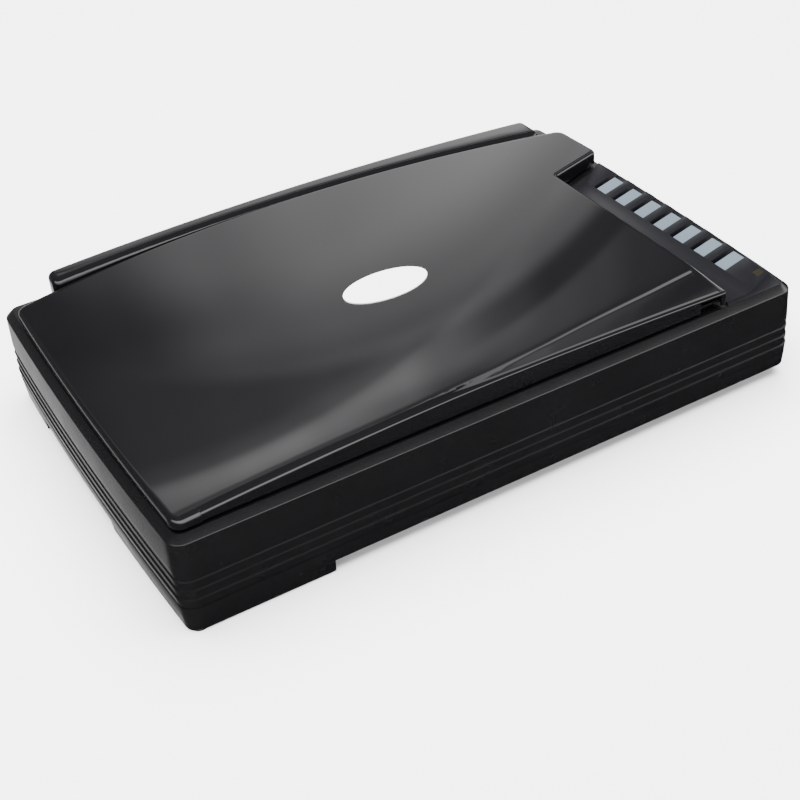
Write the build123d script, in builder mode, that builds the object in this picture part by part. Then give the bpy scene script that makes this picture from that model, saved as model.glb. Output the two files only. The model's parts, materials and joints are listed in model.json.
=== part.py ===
from build123d import *
import math
import os

# Large-format flatbed scanner, millimetres. +X runs along the long side towards the buttons,
# +Y towards the hinges, +Z up, with the origin at the base under the middle of the casing.

# --- driving dimensions -------------------------------------------------------------------
CASE_HALF_X = 289.9          # half length at the rim, at the corners
CASE_HALF_Y = 193.1          # half depth at the rim
SIDE_BOW = 4.6               # how far both short sides swell at mid-depth
CORNER_R = 13.0
DRAFT = math.tan(math.radians(1.3))
WALL = 2.6
ARCH_Z = 12.1                # raised bottom edge between the legs
LEG_Z = 1.0                  # bottom of the legs; the rubber feet reach z = 0
PARTING_Z = 24.7
RIDGE_TOPS = (51.5, 42.2, 33.2)
RIDGE_DEPTH = 1.2
RIM_Z = 87.15
BEVEL = 6.05
DECK_Z = RIM_Z + BEVEL

GLASS_X = (-262.0, 200.0)
GLASS_Y = (-160.0, 160.0)
GLASS_T = 3.0
GLASS_LAP = 6.0              # how far the deck laps over the glass

LID_Z = 96.5                 # lower edge of the lid
LID_FRONT_Y = -188.0
LID_LEFT_X = -284.3
LID_RIGHT_X = 219.5
TAB_X = 284.0                # right end of the tab over the right hinge
TAB_FRONT_Y = (62.0, 84.0)   # the tab's slanting front edge: at the lid's right end, at its tip
LID_T = 2.4
CROWN_X = -5.0               # where the lid is highest
CROWN_Z = 117.3
CROWN_R = (3570.0, 5000.0)   # radius of the crown along X: left part, right part
BAR_X = (-245.0, 262.0)
BAR_Z = 118.8
BAR_REAR_Y = (189.0, 194.3, 182.0)   # rear edge of the bar: left end, middle, right end
BAR_GAP = 1.4                # gap between the lid and the bar behind it
TONGUE_X = (-236.0, 246.0)   # tongue of the lid frame that carries the bar and the hinges
TONGUE_Y = 178.0
PAD_Y = 184.0                # the tongue's pads under the hinge leaves reach this far back
HINGE_Y = 190.4
HINGE_Z = 99.5
HINGE_XS = (-150.0, 150.0)
KNUCKLE_R = 3.8
LID_SCREWS = ((-216, 156), (-80, 156), (80, 156), (206, -100), (206, 60))
BADGE_CENTRE = (-11.3, -18.2)
BADGE_RADII = (39.6, 21.4)

PANEL_X = 222.4
PANEL_Z = 95.4
PANEL_TILT = 14.0
BUTTON_PITCH = 28.73
BUTTON_SIZE = (22.0, 14.6, 2.4)
BUTTON_MID_X = 263.4
BUTTON_FIRST_Y = -138.6
BUTTON_COUNT = 7
BUTTON_GAP = 0.4
BUTTON_REAR_GAP = 3.6         # extra open slot behind each button
BUTTON_RECESS = 0.9
PANEL_OPENING_Y = (-153.6, 48.4)
STATUS_LENS = (268.4, -170.0)
STATUS_SIZE = (7.0, 7.5)
BOARD_DEPTH = 18.0           # button board, below the panel's surface

CARRIAGE_X = (-268.0, -212.0)
CARRIAGE_Y = (-162.0, 162.0)
CARRIAGE_Z = (38.0, 81.0)
ROD_Y = -104.0
ROD_Z = 29.0
ROD_R = 4.0
RAIL_Y = 120.0
BELT_Y = -70.0
PULLEY_R = 6.0
PULLEY_X = 236.0
IDLER_X = -276.0
SPRING_TURNS = 18
SPRING_PITCH = 0.85
GEAR_MODULE = 0.8
GEAR_TEETH = 48
PINION_TEETH = 12

os.makedirs("parts", exist_ok=True)


# --- helpers ------------------------------------------------------------------------------
def save(piece, name):
    """Label a finished piece and write it as one STEP file."""
    piece.part.label = name
    export_step(piece.part, f"parts/{name}.step")


def slab(xs, ys, zs, mode=Mode.ADD):
    """Add or cut a box given by its limits along X, Y and Z."""
    middle = ((xs[0] + xs[1]) / 2, (ys[0] + ys[1]) / 2, (zs[0] + zs[1]) / 2)
    with Locations(middle):
        Box(xs[1] - xs[0], ys[1] - ys[0], zs[1] - zs[0], mode=mode)


def post(x, y, zs, radius, mode=Mode.ADD):
    """Add or cut an upright cylinder between two heights."""
    with Locations((x, y, (zs[0] + zs[1]) / 2)):
        Cylinder(radius, zs[1] - zs[0], mode=mode)


def bar_along_x(xs, y, z, radius, mode=Mode.ADD):
    """Add or cut a cylinder along X."""
    with Locations(((xs[0] + xs[1]) / 2, y, z)):
        Cylinder(radius, xs[1] - xs[0], rotation=(0, 90, 0), mode=mode)


def case_outline(z, inset):
    """Plan outline of the casing at height z, drawn in from the rim outline by inset."""
    half_x = CASE_HALF_X - inset
    half_y = CASE_HALF_Y - inset
    with BuildSketch(Plane.XY.offset(z)) as outline:
        with BuildLine():
            Line((-half_x, -half_y), (half_x, -half_y))
            ThreePointArc((half_x, -half_y), (half_x + SIDE_BOW, 0), (half_x, half_y))
            Line((half_x, half_y), (-half_x, half_y))
            ThreePointArc((-half_x, half_y), (-half_x - SIDE_BOW, 0), (-half_x, -half_y))
        make_face()
        fillet(outline.vertices(), radius=max(CORNER_R - inset, 2.0))
    return outline.sketch.face()


def swell(z):
    """Inset of the drafted side at height z (negative, because the sides lean outward)."""
    return -(RIM_Z - z) * DRAFT


def crown_height(x, drop=0.0):
    """Height of the crowned lid at x, lowered by drop."""
    radius = CROWN_R[0] if x < CROWN_X else CROWN_R[1]
    return CROWN_Z - drop - (x - CROWN_X) ** 2 / (2 * radius)


def circle_through(a, b, c):
    """Centre and radius of the circle through three points in the plane."""
    d = 2 * (a[0] * (b[1] - c[1]) + b[0] * (c[1] - a[1]) + c[0] * (a[1] - b[1]))
    sa, sb, sc = (p[0] ** 2 + p[1] ** 2 for p in (a, b, c))
    cx = (sa * (b[1] - c[1]) + sb * (c[1] - a[1]) + sc * (a[1] - b[1])) / d
    cy = (sa * (c[0] - b[0]) + sb * (a[0] - c[0]) + sc * (b[0] - a[0])) / d
    return cx, cy, math.hypot(a[0] - cx, a[1] - cy)


REAR_ARC = circle_through((279.0, 143.0), (0.0, 171.7), (-284.3, 162.0))


def rear_y(x, offset=0.0):
    """Y of the lid's bowed rear edge at x, moved outward by offset."""
    cx, cy, radius = REAR_ARC
    return cy + math.sqrt((radius + offset) ** 2 - (x - cx) ** 2)


def lid_block(inset, drop):
    """Solid inside of the lid's outer skin, drawn in by inset and lowered by drop."""
    left = LID_LEFT_X + inset
    right = LID_RIGHT_X - inset
    front = LID_FRONT_Y + inset
    tab = TAB_X - inset
    tab_start, tab_tip = (y + inset for y in TAB_FRONT_Y)
    with BuildPart() as block:
        with BuildSketch(Plane.XY.offset(LID_Z)) as outline:
            with BuildLine():
                Line((left, front), (right, front))
                Line((right, front), (right + 2, tab_start))
                Line((right + 2, tab_start), (tab, tab_tip))
                Line((tab, tab_tip), (tab - 2, rear_y(tab - 2, -inset)))
                ThreePointArc((tab - 2, rear_y(tab - 2, -inset)), (0, rear_y(0, -inset)),
                              (left, rear_y(left, -inset)))
                ThreePointArc((left, rear_y(left, -inset)), (left - 3.6, -13), (left, front))
            make_face()
            corners = outline.vertices().filter_by(lambda v: v.X < left + 1 or v.X > right + 30)
            fillet(corners, radius=10 - inset)
        extrude(amount=40)
        with BuildSketch(Plane.XZ) as crown:
            with BuildLine():
                Line((-320, 60), (-320, crown_height(-320, drop)))
                ThreePointArc((-320, crown_height(-320, drop)), (-160, crown_height(-160, drop)),
                              (CROWN_X, CROWN_Z - drop))
                ThreePointArc((CROWN_X, CROWN_Z - drop), (160, crown_height(160, drop)),
                              (320, crown_height(320, drop)))
                Line((320, crown_height(320, drop)), (320, 60))
                Line((320, 60), (-320, 60))
            make_face()
        extrude(amount=400, both=True, mode=Mode.INTERSECT)
    return block.part


def front_arch(clearance):
    """Area in XZ under the lid's arched front edge, lowered by clearance."""
    with BuildSketch() as area:
        with BuildLine():
            Line((-262, 60), (-262, 101.5 - clearance))
            ThreePointArc((-262, 101.5 - clearance), (-5, 112.4 - clearance), (214, 106.3 - clearance))
            Line((214, 106.3 - clearance), (214, 60))
            Line((214, 60), (-262, 60))
        make_face()
    return area.sketch


def gear_outline(teeth, width_share=0.38):
    """Spur gear outline with straight-sided teeth and generous backlash."""
    pitch_r = GEAR_MODULE * teeth / 2
    tooth = math.pi * GEAR_MODULE * width_share
    with BuildSketch() as outline:
        Circle(pitch_r - 1.0)
        with PolarLocations(pitch_r - 0.2, teeth):
            Trapezoid(tooth * 1.45, 1.8, 80, rotation=-90)
    return outline.sketch


# --- casing -------------------------------------------------------------------------------
BOSSES = [(x, y) for x in (-272, 0, 272) for y in (-178, 178)]

with BuildPart() as lower_casing:
    loft([case_outline(PARTING_Z, swell(PARTING_Z) + 0.8), case_outline(LEG_Z, 1.6)], ruled=True)
    loft([case_outline(PARTING_Z, 3.4), case_outline(ARCH_Z + WALL, 4.2)], ruled=True,
         mode=Mode.SUBTRACT)
    # raised bottom: two L-shaped legs stay on the left, everything else is lifted to the arch
    slab((-165, 320), (-220, 220), (-10, ARCH_Z), mode=Mode.SUBTRACT)
    slab((-320, -160), (-44, 123), (-10, ARCH_Z), mode=Mode.SUBTRACT)
    slab((-278, -160), (-176, 176), (-10, ARCH_Z), mode=Mode.SUBTRACT)
    # inboard feet pedestals on the right
    for side in (-1, 1):
        slab((228, 262), (side * 161 - 12, side * 161 + 12), (2, ARCH_Z + 1))
    for x, y in BOSSES:
        post(x, y, (ARCH_Z, PARTING_Z), 6.5)
        post(x, y, (LEG_Z - 1, 20), 4.2, mode=Mode.SUBTRACT)
        post(x, y, (LEG_Z, PARTING_Z), 1.9, mode=Mode.SUBTRACT)
    # recesses for the rubber feet in the left legs
    for side in (-1, 1):
        post(-279, side * 185, (0, 2.0), 6.5, mode=Mode.SUBTRACT)
    # bearing seats of the drive train and the slot of the transport lock
    post(PULLEY_X, BELT_Y, (ARCH_Z + WALL, 20), 5)
    slab((-246, -214), (97, 103), (ARCH_Z - 1, ARCH_Z + WALL + 1), mode=Mode.SUBTRACT)
save(lower_casing, "lower_casing")

with BuildPart() as upper_casing:
    loft([case_outline(RIM_Z, 0), case_outline(RIDGE_TOPS[0], swell(RIDGE_TOPS[0]))], ruled=True)
    bottoms = RIDGE_TOPS[1:] + (PARTING_Z,)
    for top, bottom in zip(RIDGE_TOPS, bottoms):
        loft([case_outline(top, swell(top)), case_outline(bottom, swell(bottom) + RIDGE_DEPTH)],
             ruled=True)
    loft([case_outline(RIM_Z, 0), case_outline(DECK_Z, BEVEL)], ruled=True)
    cavity_top = DECK_Z - WALL
    loft([case_outline(RIM_Z - 1, WALL), case_outline(PARTING_Z, WALL - 0.4)], ruled=True,
         mode=Mode.SUBTRACT)
    loft([case_outline(RIM_Z - 1, WALL), case_outline(cavity_top, BEVEL + 0.6)], ruled=True,
         mode=Mode.SUBTRACT)
    slab((GLASS_X[0] + GLASS_LAP, GLASS_X[1] - GLASS_LAP),
         (GLASS_Y[0] + GLASS_LAP, GLASS_Y[1] - GLASS_LAP), (80, 100), mode=Mode.SUBTRACT)
    # opening under the buttons
    slab((250, 277), PANEL_OPENING_Y, (85, 100), mode=Mode.SUBTRACT)
    # slots for the hinge posts
    for x in HINGE_XS:
        slab((x - 14.5, x + 14.5), (174.5, 182.5), (80, 100), mode=Mode.SUBTRACT)
    for x, y in BOSSES:
        post(x, y, (PARTING_Z, cavity_top), 5)
        post(x, y, (PARTING_Z, 40), 1.55, mode=Mode.SUBTRACT)
    # openings in the rear wall for the data socket and the power jack
    slab((231.8, 244.2), (180, 200), (29.6, 40.9), mode=Mode.SUBTRACT)
    slab((257.3, 266.7), (180, 200), (29.6, 40.9), mode=Mode.SUBTRACT)
save(upper_casing, "upper_casing")

glass_top = DECK_Z - WALL - 0.3
with BuildPart() as platen_glass:
    slab(GLASS_X, GLASS_Y, (glass_top - GLASS_T, glass_top))
save(platen_glass, "platen_glass")

with BuildPart() as glass_gasket:
    slab(GLASS_X, GLASS_Y, (glass_top, glass_top + 0.3))
    slab((GLASS_X[0] + GLASS_LAP, GLASS_X[1] - GLASS_LAP),
         (GLASS_Y[0] + GLASS_LAP, GLASS_Y[1] - GLASS_LAP), (80, 100), mode=Mode.SUBTRACT)
save(glass_gasket, "glass_gasket")

with BuildPart() as calibration_strip:
    slab((GLASS_X[0] + 1, GLASS_X[0] + GLASS_LAP - 1), (-155, 155), (glass_top - GLASS_T - 0.3,
                                                                     glass_top - GLASS_T))
save(calibration_strip, "calibration_strip")

with BuildPart() as rubber_feet:
    for side in (-1, 1):
        post(-279, side * 185, (0, 2.0), 6.3)
        post(245, side * 161, (0, 2.0), 9)
save(rubber_feet, "rubber_feet")

with BuildPart() as casing_screws:
    for x, y in BOSSES:
        post(x, y, (17.5, 20), 3.6)
        post(x, y, (20, 38), 1.5)
        with Locations((x, y, 17.5)):
            Box(4.4, 0.9, 1.6, mode=Mode.SUBTRACT)
            Box(0.9, 4.4, 1.6, mode=Mode.SUBTRACT)
save(casing_screws, "casing_screws")

# --- button panel -------------------------------------------------------------------------
tilt = math.radians(PANEL_TILT)
bend_r = 45.0
bend_start = 241.0
bend_end = bend_start + bend_r * math.sin(tilt)
bend_rise = PANEL_Z + bend_r * (1 - math.cos(tilt))
slope_end = 300.0
slope_end_z = bend_rise + (slope_end - bend_end) * math.tan(tilt)
button_mid_z = bend_rise + (BUTTON_MID_X - bend_end) * math.tan(tilt)
status_shift = (STATUS_LENS[0] - BUTTON_MID_X) / math.cos(tilt)
button_ys = [BUTTON_FIRST_Y + i * BUTTON_PITCH for i in range(BUTTON_COUNT)]
NORMAL = Vector(-math.sin(tilt), 0, math.cos(tilt))


def button_plane(y, depth=0.0):
    """Plane tilted with the panel, centred on a button, depth below the panel's surface."""
    origin = Vector(BUTTON_MID_X, y, button_mid_z) - NORMAL * depth
    return Plane(origin=origin, x_dir=(math.cos(tilt), 0, math.sin(tilt)), z_dir=NORMAL)


with BuildPart() as button_panel:
    loft([case_outline(DECK_Z, BEVEL), case_outline(DECK_Z + 12, BEVEL + 12)], ruled=True)
    with BuildSketch(Plane.XY.offset(80)):
        Polygon((PANEL_X, -220), (320, -220), (320, 83), (284, 75), (236, 51), (PANEL_X, 49), align=None)
    extrude(amount=40, mode=Mode.INTERSECT)
    with BuildSketch(Plane.XZ):
        with BuildLine():
            Line((200, 80), (200, PANEL_Z))
            Line((200, PANEL_Z), (bend_start, PANEL_Z))
            ThreePointArc(
                (bend_start, PANEL_Z),
                (bend_start + bend_r * math.sin(tilt / 2),
                 PANEL_Z + bend_r * (1 - math.cos(tilt / 2))),
                (bend_end, bend_rise),
            )
            Line((bend_end, bend_rise), (slope_end, slope_end_z))
            Line((slope_end, slope_end_z), (slope_end, 80))
            Line((slope_end, 80), (200, 80))
        make_face()
    extrude(amount=400, both=True, mode=Mode.INTERSECT)
    slab((250.4, 276.6), (PANEL_OPENING_Y[0] + 0.4, PANEL_OPENING_Y[1] - 0.4),
         (DECK_Z - 2.2, DECK_Z + 0.5))
    for y in button_ys:
        with BuildSketch(button_plane(y)):
            with Locations((10, BUTTON_REAR_GAP / 2)):
                Rectangle(BUTTON_SIZE[0] + 20 + 2 * BUTTON_GAP,
                          BUTTON_SIZE[1] + 2 * BUTTON_GAP + BUTTON_REAR_GAP)
        extrude(amount=-4.6, mode=Mode.SUBTRACT)
        with BuildSketch(button_plane(y)):
            Circle(3.5)
        extrude(amount=-20, mode=Mode.SUBTRACT)
    with BuildSketch(button_plane(STATUS_LENS[1])):
        with Locations((status_shift, 0)):
            Rectangle(STATUS_SIZE[0] + 0.2, STATUS_SIZE[1] + 0.2)
    extrude(amount=-1.6, mode=Mode.SUBTRACT)
    # pillars that hold the button board
    for gap_number in (0.5, 5.5):
        with BuildSketch(button_plane(BUTTON_FIRST_Y + gap_number * BUTTON_PITCH, BOARD_DEPTH)):
            Circle(2.5)
        extrude(amount=BOARD_DEPTH - 6)
save(button_panel, "button_panel")

with BuildPart() as status_lens:
    with BuildSketch(button_plane(STATUS_LENS[1], 1.6)):
        with Locations((status_shift, 0)):
            Rectangle(*STATUS_SIZE)
    extrude(amount=1.5)
save(status_lens, "status_lens")

for number, y in enumerate(button_ys, start=1):
    with BuildPart() as button:
        with BuildSketch(button_plane(y, BUTTON_RECESS + BUTTON_SIZE[2])):
            Rectangle(BUTTON_SIZE[0], BUTTON_SIZE[1])
            fillet(vertices(), radius=0.8)
        extrude(amount=BUTTON_SIZE[2])
        top = button.faces().sort_by(Axis(origin=(0, 0, 0), direction=tuple(NORMAL)))[-1]
        chamfer(top.edges(), length=0.35)
        with BuildSketch(button_plane(y, BUTTON_RECESS + BUTTON_SIZE[2])):
            Circle(3.0)
        extrude(amount=-9.0)
    save(button, f"button_{number}")

with BuildPart() as button_board:
    with BuildSketch(button_plane(BUTTON_FIRST_Y + 3 * BUTTON_PITCH, BOARD_DEPTH)):
        Rectangle(18, 196)
    extrude(amount=-1.6)
save(button_board, "button_board")

with BuildPart() as board_switches:
    for y in button_ys:
        with BuildSketch(button_plane(y, BOARD_DEPTH)):
            Rectangle(6, 6)
        extrude(amount=3.0)
        with BuildSketch(button_plane(y, BOARD_DEPTH - 3.0)):
            Circle(1.7)
        extrude(amount=1.0)
save(board_switches, "board_switches")

# --- lid ----------------------------------------------------------------------------------
lid_outer = lid_block(0, 0)
lid_inner = lid_block(LID_T, LID_T)
lid_tray = lid_block(LID_T + 0.5, LID_T)

with BuildPart() as lid_shell:
    add(lid_outer)
    add(lid_inner, mode=Mode.SUBTRACT)
    # the front wall is cut away under an arch
    with BuildSketch(Plane.XZ.offset(-LID_FRONT_Y - LID_T - 1)):
        add(front_arch(0))
    extrude(amount=LID_T + 3, mode=Mode.SUBTRACT)
    # the rear wall clears the tongue of the lid frame
    slab((TONGUE_X[0] - 0.5, TONGUE_X[1] + 0.5), (130, 185), (60, HINGE_Z + LID_T + 0.1),
         mode=Mode.SUBTRACT)
save(lid_shell, "lid_shell")

with BuildPart() as lid_frame:
    # flat tray under the lid shell
    add(lid_tray)
    slab((-320, 320), (-220, 220), (60, HINGE_Z), mode=Mode.SUBTRACT)
    slab((-320, 320), (-220, 220), (HINGE_Z + LID_T, 140), mode=Mode.SUBTRACT)
    # tongue under the hinge cover, notched round each hinge post
    slab(TONGUE_X, (130, TONGUE_Y), (HINGE_Z, HINGE_Z + LID_T))
    for x in HINGE_XS:
        slab((x - 22, x + 22), (TONGUE_Y, PAD_Y), (HINGE_Z, HINGE_Z + LID_T))
    # front strip, seen under the arched edge of the shell
    with BuildSketch(Plane.XZ.offset(-LID_FRONT_Y - LID_T - 0.6)):
        add(front_arch(0.4))
    extrude(amount=LID_T - 0.9)
    slab((-320, -264), (-190, -184), (60, 140), mode=Mode.SUBTRACT)
    slab((193, 320), (-190, -184.9), (60, 140), mode=Mode.SUBTRACT)
    slab((-320, 320), (-190, -184.4), (60, LID_Z), mode=Mode.SUBTRACT)
    for x, y in LID_SCREWS:
        post(x, y, (90, 120), 1.45, mode=Mode.SUBTRACT)
save(lid_frame, "lid_frame")

MAT_X = (GLASS_X[0] + GLASS_LAP + 2.5, GLASS_X[1] - GLASS_LAP - 2.5)
MAT_Y = (GLASS_Y[0] + GLASS_LAP + 2.5, GLASS_Y[1] - GLASS_LAP - 2.5)
MAT_Z = glass_top + 0.4

with BuildPart() as document_mat:
    slab(MAT_X, MAT_Y, (MAT_Z, MAT_Z + 1.0))
save(document_mat, "document_mat")

with BuildPart() as mat_foam:
    slab((MAT_X[0] + 1, MAT_X[1] - 1), (MAT_Y[0] + 1, MAT_Y[1] - 1), (MAT_Z + 1.0, HINGE_Z))
save(mat_foam, "mat_foam")

with BuildPart() as lid_bumpers:
    for x in (-272, 206):
        for y in (-172, 128):
            post(x, y, (DECK_Z, HINGE_Z), 3.5)
save(lid_bumpers, "lid_bumpers")

with BuildPart() as badge:
    with BuildSketch(Plane.XY.offset(CROWN_Z - 2)) as oval:
        with Locations(BADGE_CENTRE):
            Ellipse(*BADGE_RADII)
    extrude(amount=2.8)
    add(lid_outer, mode=Mode.SUBTRACT)
save(badge, "badge")

# --- hinge bar and hinges -----------------------------------------------------------------
def bar_block(inset):
    """Rounded bar behind the lid, drawn in by inset; its crown is highest left of the middle."""
    left = BAR_X[0] + inset
    right = BAR_X[1] - inset
    gap = BAR_GAP + inset
    rear_left, rear_middle, rear_right = (y - inset for y in BAR_REAR_Y)
    with BuildPart() as block:
        with BuildSketch(Plane.XY.offset(LID_Z - min(inset, 1))) as outline:
            with BuildLine():
                ThreePointArc((left, rear_y(left, gap)), (0, rear_y(0, gap)), (right, rear_y(right, gap)))
                Line((right, rear_y(right, gap)), (right, rear_right))
                ThreePointArc((right, rear_right), (-20, rear_middle), (left, rear_left))
                Line((left, rear_left), (left, rear_y(left, gap)))
            make_face()
            fillet(outline.vertices(), radius=7 - inset)
        extrude(amount=40)
        with BuildSketch(Plane.XZ):
            with BuildLine():
                Line((-300, 60), (-300, BAR_Z - 2.6 - inset))
                ThreePointArc((-300, BAR_Z - 2.6 - inset), (-70, BAR_Z - inset),
                              (300, BAR_Z - 8.4 - inset))
                Line((300, BAR_Z - 8.4 - inset), (300, 60))
                Line((300, 60), (-300, 60))
            make_face()
        extrude(amount=400, both=True, mode=Mode.INTERSECT)
        rim = block.faces().sort_by(Axis.Z)[-1].edges()
        fillet(rim, radius=7 - inset)
    return block.part


bar_outer = bar_block(0)
bar_inner = bar_block(2.2)
with BuildPart() as hinge_cover:
    add(bar_outer)
    add(bar_inner, mode=Mode.SUBTRACT)
    slab((TONGUE_X[0] - 0.5, TONGUE_X[1] + 0.5), (130, 178), (60, HINGE_Z + LID_T + 0.1),
         mode=Mode.SUBTRACT)
    for x in HINGE_XS:
        slab((x - 24, x + 24), (180, 202), (60, 104.5), mode=Mode.SUBTRACT)
save(hinge_cover, "hinge_cover")

with BuildPart() as hinge_leaves:
    for x in HINGE_XS:
        slab((x - 22, x + 22), (176, PAD_Y + 0.5), (HINGE_Z + LID_T, HINGE_Z + LID_T + 1.6))
        for side in (-1, 1):
            middle = x + side * 18.3
            slab((middle - 3.7, middle + 3.7), (PAD_Y, HINGE_Y), (HINGE_Z + LID_T, HINGE_Z + LID_T + 1.6))
            slab((middle - 3.7, middle + 3.7), (HINGE_Y - KNUCKLE_R, HINGE_Y + KNUCKLE_R),
                 (HINGE_Z, HINGE_Z + LID_T + 1.6))
            bar_along_x((middle - 3.7, middle + 3.7), HINGE_Y, HINGE_Z, KNUCKLE_R)
        bar_along_x((x - 23, x + 23), HINGE_Y, HINGE_Z, 2.0, mode=Mode.SUBTRACT)
save(hinge_leaves, "hinge_leaves")

with BuildPart() as hinge_pins:
    for x in HINGE_XS:
        bar_along_x((x - 22.5, x + 22.5), HINGE_Y, HINGE_Z, 1.95)
        bar_along_x((x - 23.5, x - 22.5), HINGE_Y, HINGE_Z, 3.0)
save(hinge_pins, "hinge_pins")

with BuildPart() as hinge_posts:
    for x in HINGE_XS:
        slab((x - 13.5, x + 13.5), (175.5, 181.5), (44, HINGE_Z - 0.8))
        slab((x - 13.5, x + 13.5), (175.5, HINGE_Y), (HINGE_Z - 3.8, HINGE_Z - 0.8))
        bar_along_x((x - 13.5, x + 13.5), HINGE_Y, HINGE_Z, KNUCKLE_R)
        bar_along_x((x - 14, x + 14), HINGE_Y, HINGE_Z, 2.0, mode=Mode.SUBTRACT)
        slab((x - 14, x + 14), (170, HINGE_Y - KNUCKLE_R + 0.4), (HINGE_Z - 0.8, HINGE_Z + 5), mode=Mode.SUBTRACT)
save(hinge_posts, "hinge_posts")

with BuildPart() as hinge_sockets:
    for x in HINGE_XS:
        slab((x - 17, x + 17), (172.5, 184.5), (ARCH_Z + WALL, DECK_Z - WALL))
        slab((x - 14, x + 14), (175.1, 181.9), (ARCH_Z + WALL + 3, DECK_Z), mode=Mode.SUBTRACT)
save(hinge_sockets, "hinge_sockets")

with BuildPart() as lid_screws:
    for x, y in LID_SCREWS:
        post(x, y, (HINGE_Z - 1.6, HINGE_Z), 3.0)
        post(x, y, (HINGE_Z, HINGE_Z + LID_T), 1.45)
save(lid_screws, "lid_screws")

# --- carriage -----------------------------------------------------------------------------
slit_x = CARRIAGE_X[0] + 19
with BuildPart() as carriage_housing:
    slab(CARRIAGE_X, CARRIAGE_Y, CARRIAGE_Z)
    slab((CARRIAGE_X[0] + 2, CARRIAGE_X[1] - 2), (CARRIAGE_Y[0] + 2, CARRIAGE_Y[1] - 2),
         (CARRIAGE_Z[0] - 1, CARRIAGE_Z[1] - 2), mode=Mode.SUBTRACT)
    slab((slit_x - 3, slit_x + 3), (-152, 152), (CARRIAGE_Z[1] - 3, CARRIAGE_Z[1] + 1),
         mode=Mode.SUBTRACT)
    fillet(carriage_housing.edges().filter_by(Axis.Z).sort_by(Axis.Y)[:2], radius=1.0)
save(carriage_housing, "carriage_housing")

with BuildPart() as carriage_cover:
    slab(CARRIAGE_X, CARRIAGE_Y, (CARRIAGE_Z[0] - 2, CARRIAGE_Z[0]))
    slab((CARRIAGE_X[0], CARRIAGE_X[1]), (ROD_Y - 9, ROD_Y + 9), (ROD_Z - 2, CARRIAGE_Z[0] - 2))
    slab((CARRIAGE_X[0], CARRIAGE_X[1]), (ROD_Y - 7.2, ROD_Y + 7.2), (ROD_Z - 7, ROD_Z - 2))
    bar_along_x((CARRIAGE_X[0] - 1, CARRIAGE_X[1] + 1), ROD_Y, ROD_Z, 6.2, mode=Mode.SUBTRACT)
save(carriage_cover, "carriage_cover")

with BuildPart() as rod_bushings:
    for x in (CARRIAGE_X[0] + 8, CARRIAGE_X[1] - 8):
        bar_along_x((x - 6, x + 6), ROD_Y, ROD_Z, 6.2)
    bar_along_x(CARRIAGE_X, ROD_Y, ROD_Z, ROD_R + 0.06, mode=Mode.SUBTRACT)
save(rod_bushings, "rod_bushings")

with BuildPart() as glide_pad:
    slab((CARRIAGE_X[0] + 14, CARRIAGE_X[1] - 14), (RAIL_Y - 5, RAIL_Y + 5), (26.3, CARRIAGE_Z[0] - 2))
    fillet(glide_pad.edges().filter_by(Axis.Y).sort_by(Axis.Z)[:2], radius=2.0)
save(glide_pad, "glide_pad")

with BuildPart() as belt_clip:
    slab((CARRIAGE_X[0] + 20, CARRIAGE_X[1] - 20), (BELT_Y + 1.5, BELT_Y + 11), (22.5, CARRIAGE_Z[0] - 2))
    slab((CARRIAGE_X[0], CARRIAGE_X[1]), (BELT_Y + PULLEY_R - 0.4, BELT_Y + PULLEY_R + 2.0), (22, 30.5),
         mode=Mode.SUBTRACT)
save(belt_clip, "belt_clip")

with BuildPart() as lamp_tube:
    with Locations((slit_x + 8, 0, CARRIAGE_Z[1] + 2.2)):
        Cylinder(1.3, 308, rotation=(90, 0, 0))
save(lamp_tube, "lamp_tube")

with BuildPart() as lamp_ends:
    for side in (-1, 1):
        slab((slit_x + 5.6, slit_x + 10.4), (side * 156 - 2, side * 156 + 2),
             (CARRIAGE_Z[1], CARRIAGE_Z[1] + 4.4))
save(lamp_ends, "lamp_ends")

with BuildPart() as lamp_reflector:
    with BuildSketch(Plane.XZ) as channel:
        with Locations((slit_x + 10.2, CARRIAGE_Z[1] + 2.2)):
            Rectangle(11, 4.4)
        with Locations((slit_x + 8, CARRIAGE_Z[1] + 3.0)):
            Rectangle(6.6, 5.4, mode=Mode.SUBTRACT)
    extrude(amount=152, both=True)
save(lamp_reflector, "lamp_reflector")

MIRRORS = ((0.0, 46.0, 48.0), (-11.0, 62.0, -62.0), (9.0, 66.0, 75.0), (-9.0, 52.0, 84.0))
with BuildPart() as fold_mirrors:
    for offset, height, angle in MIRRORS:
        with Locations(Location((slit_x + offset, 0, height), (0, angle, 0))):
            Box(11, 304, 2)
save(fold_mirrors, "fold_mirrors")

lens_x = CARRIAGE_X[1] - 18
with BuildPart() as lens_barrel:
    with Locations((lens_x, 0, 50)):
        Cylinder(9, 14, rotation=(0, 90, 0))
        Cylinder(6, 20, rotation=(0, 90, 0), mode=Mode.SUBTRACT)
        Cylinder(6, 3, rotation=(0, 90, 0))
save(lens_barrel, "lens_barrel")

with BuildPart() as sensor_board:
    slab((CARRIAGE_X[1] - 4.4, CARRIAGE_X[1] - 2.8), (-46, 46), (40, 74))
    slab((CARRIAGE_X[1] - 7.4, CARRIAGE_X[1] - 4.4), (-32, 32), (45, 55))
save(sensor_board, "sensor_board")

# --- rails and drive ----------------------------------------------------------------------
FLOOR_Z = ARCH_Z + WALL
ROD_X = (-282.0, 214.0)
with BuildPart() as guide_rod:
    bar_along_x(ROD_X, ROD_Y, ROD_Z, ROD_R)
    chamfer(guide_rod.edges(), length=0.6)
save(guide_rod, "guide_rod")

with BuildPart() as rod_clamps:
    for x in (ROD_X[0] + 5, ROD_X[1] + 4):
        slab((x - 5, x + 5), (ROD_Y - 9, ROD_Y + 9), (FLOOR_Z, ROD_Z + 7))
    bar_along_x(ROD_X, ROD_Y, ROD_Z, ROD_R, mode=Mode.SUBTRACT)
save(rod_clamps, "rod_clamps")

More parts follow.
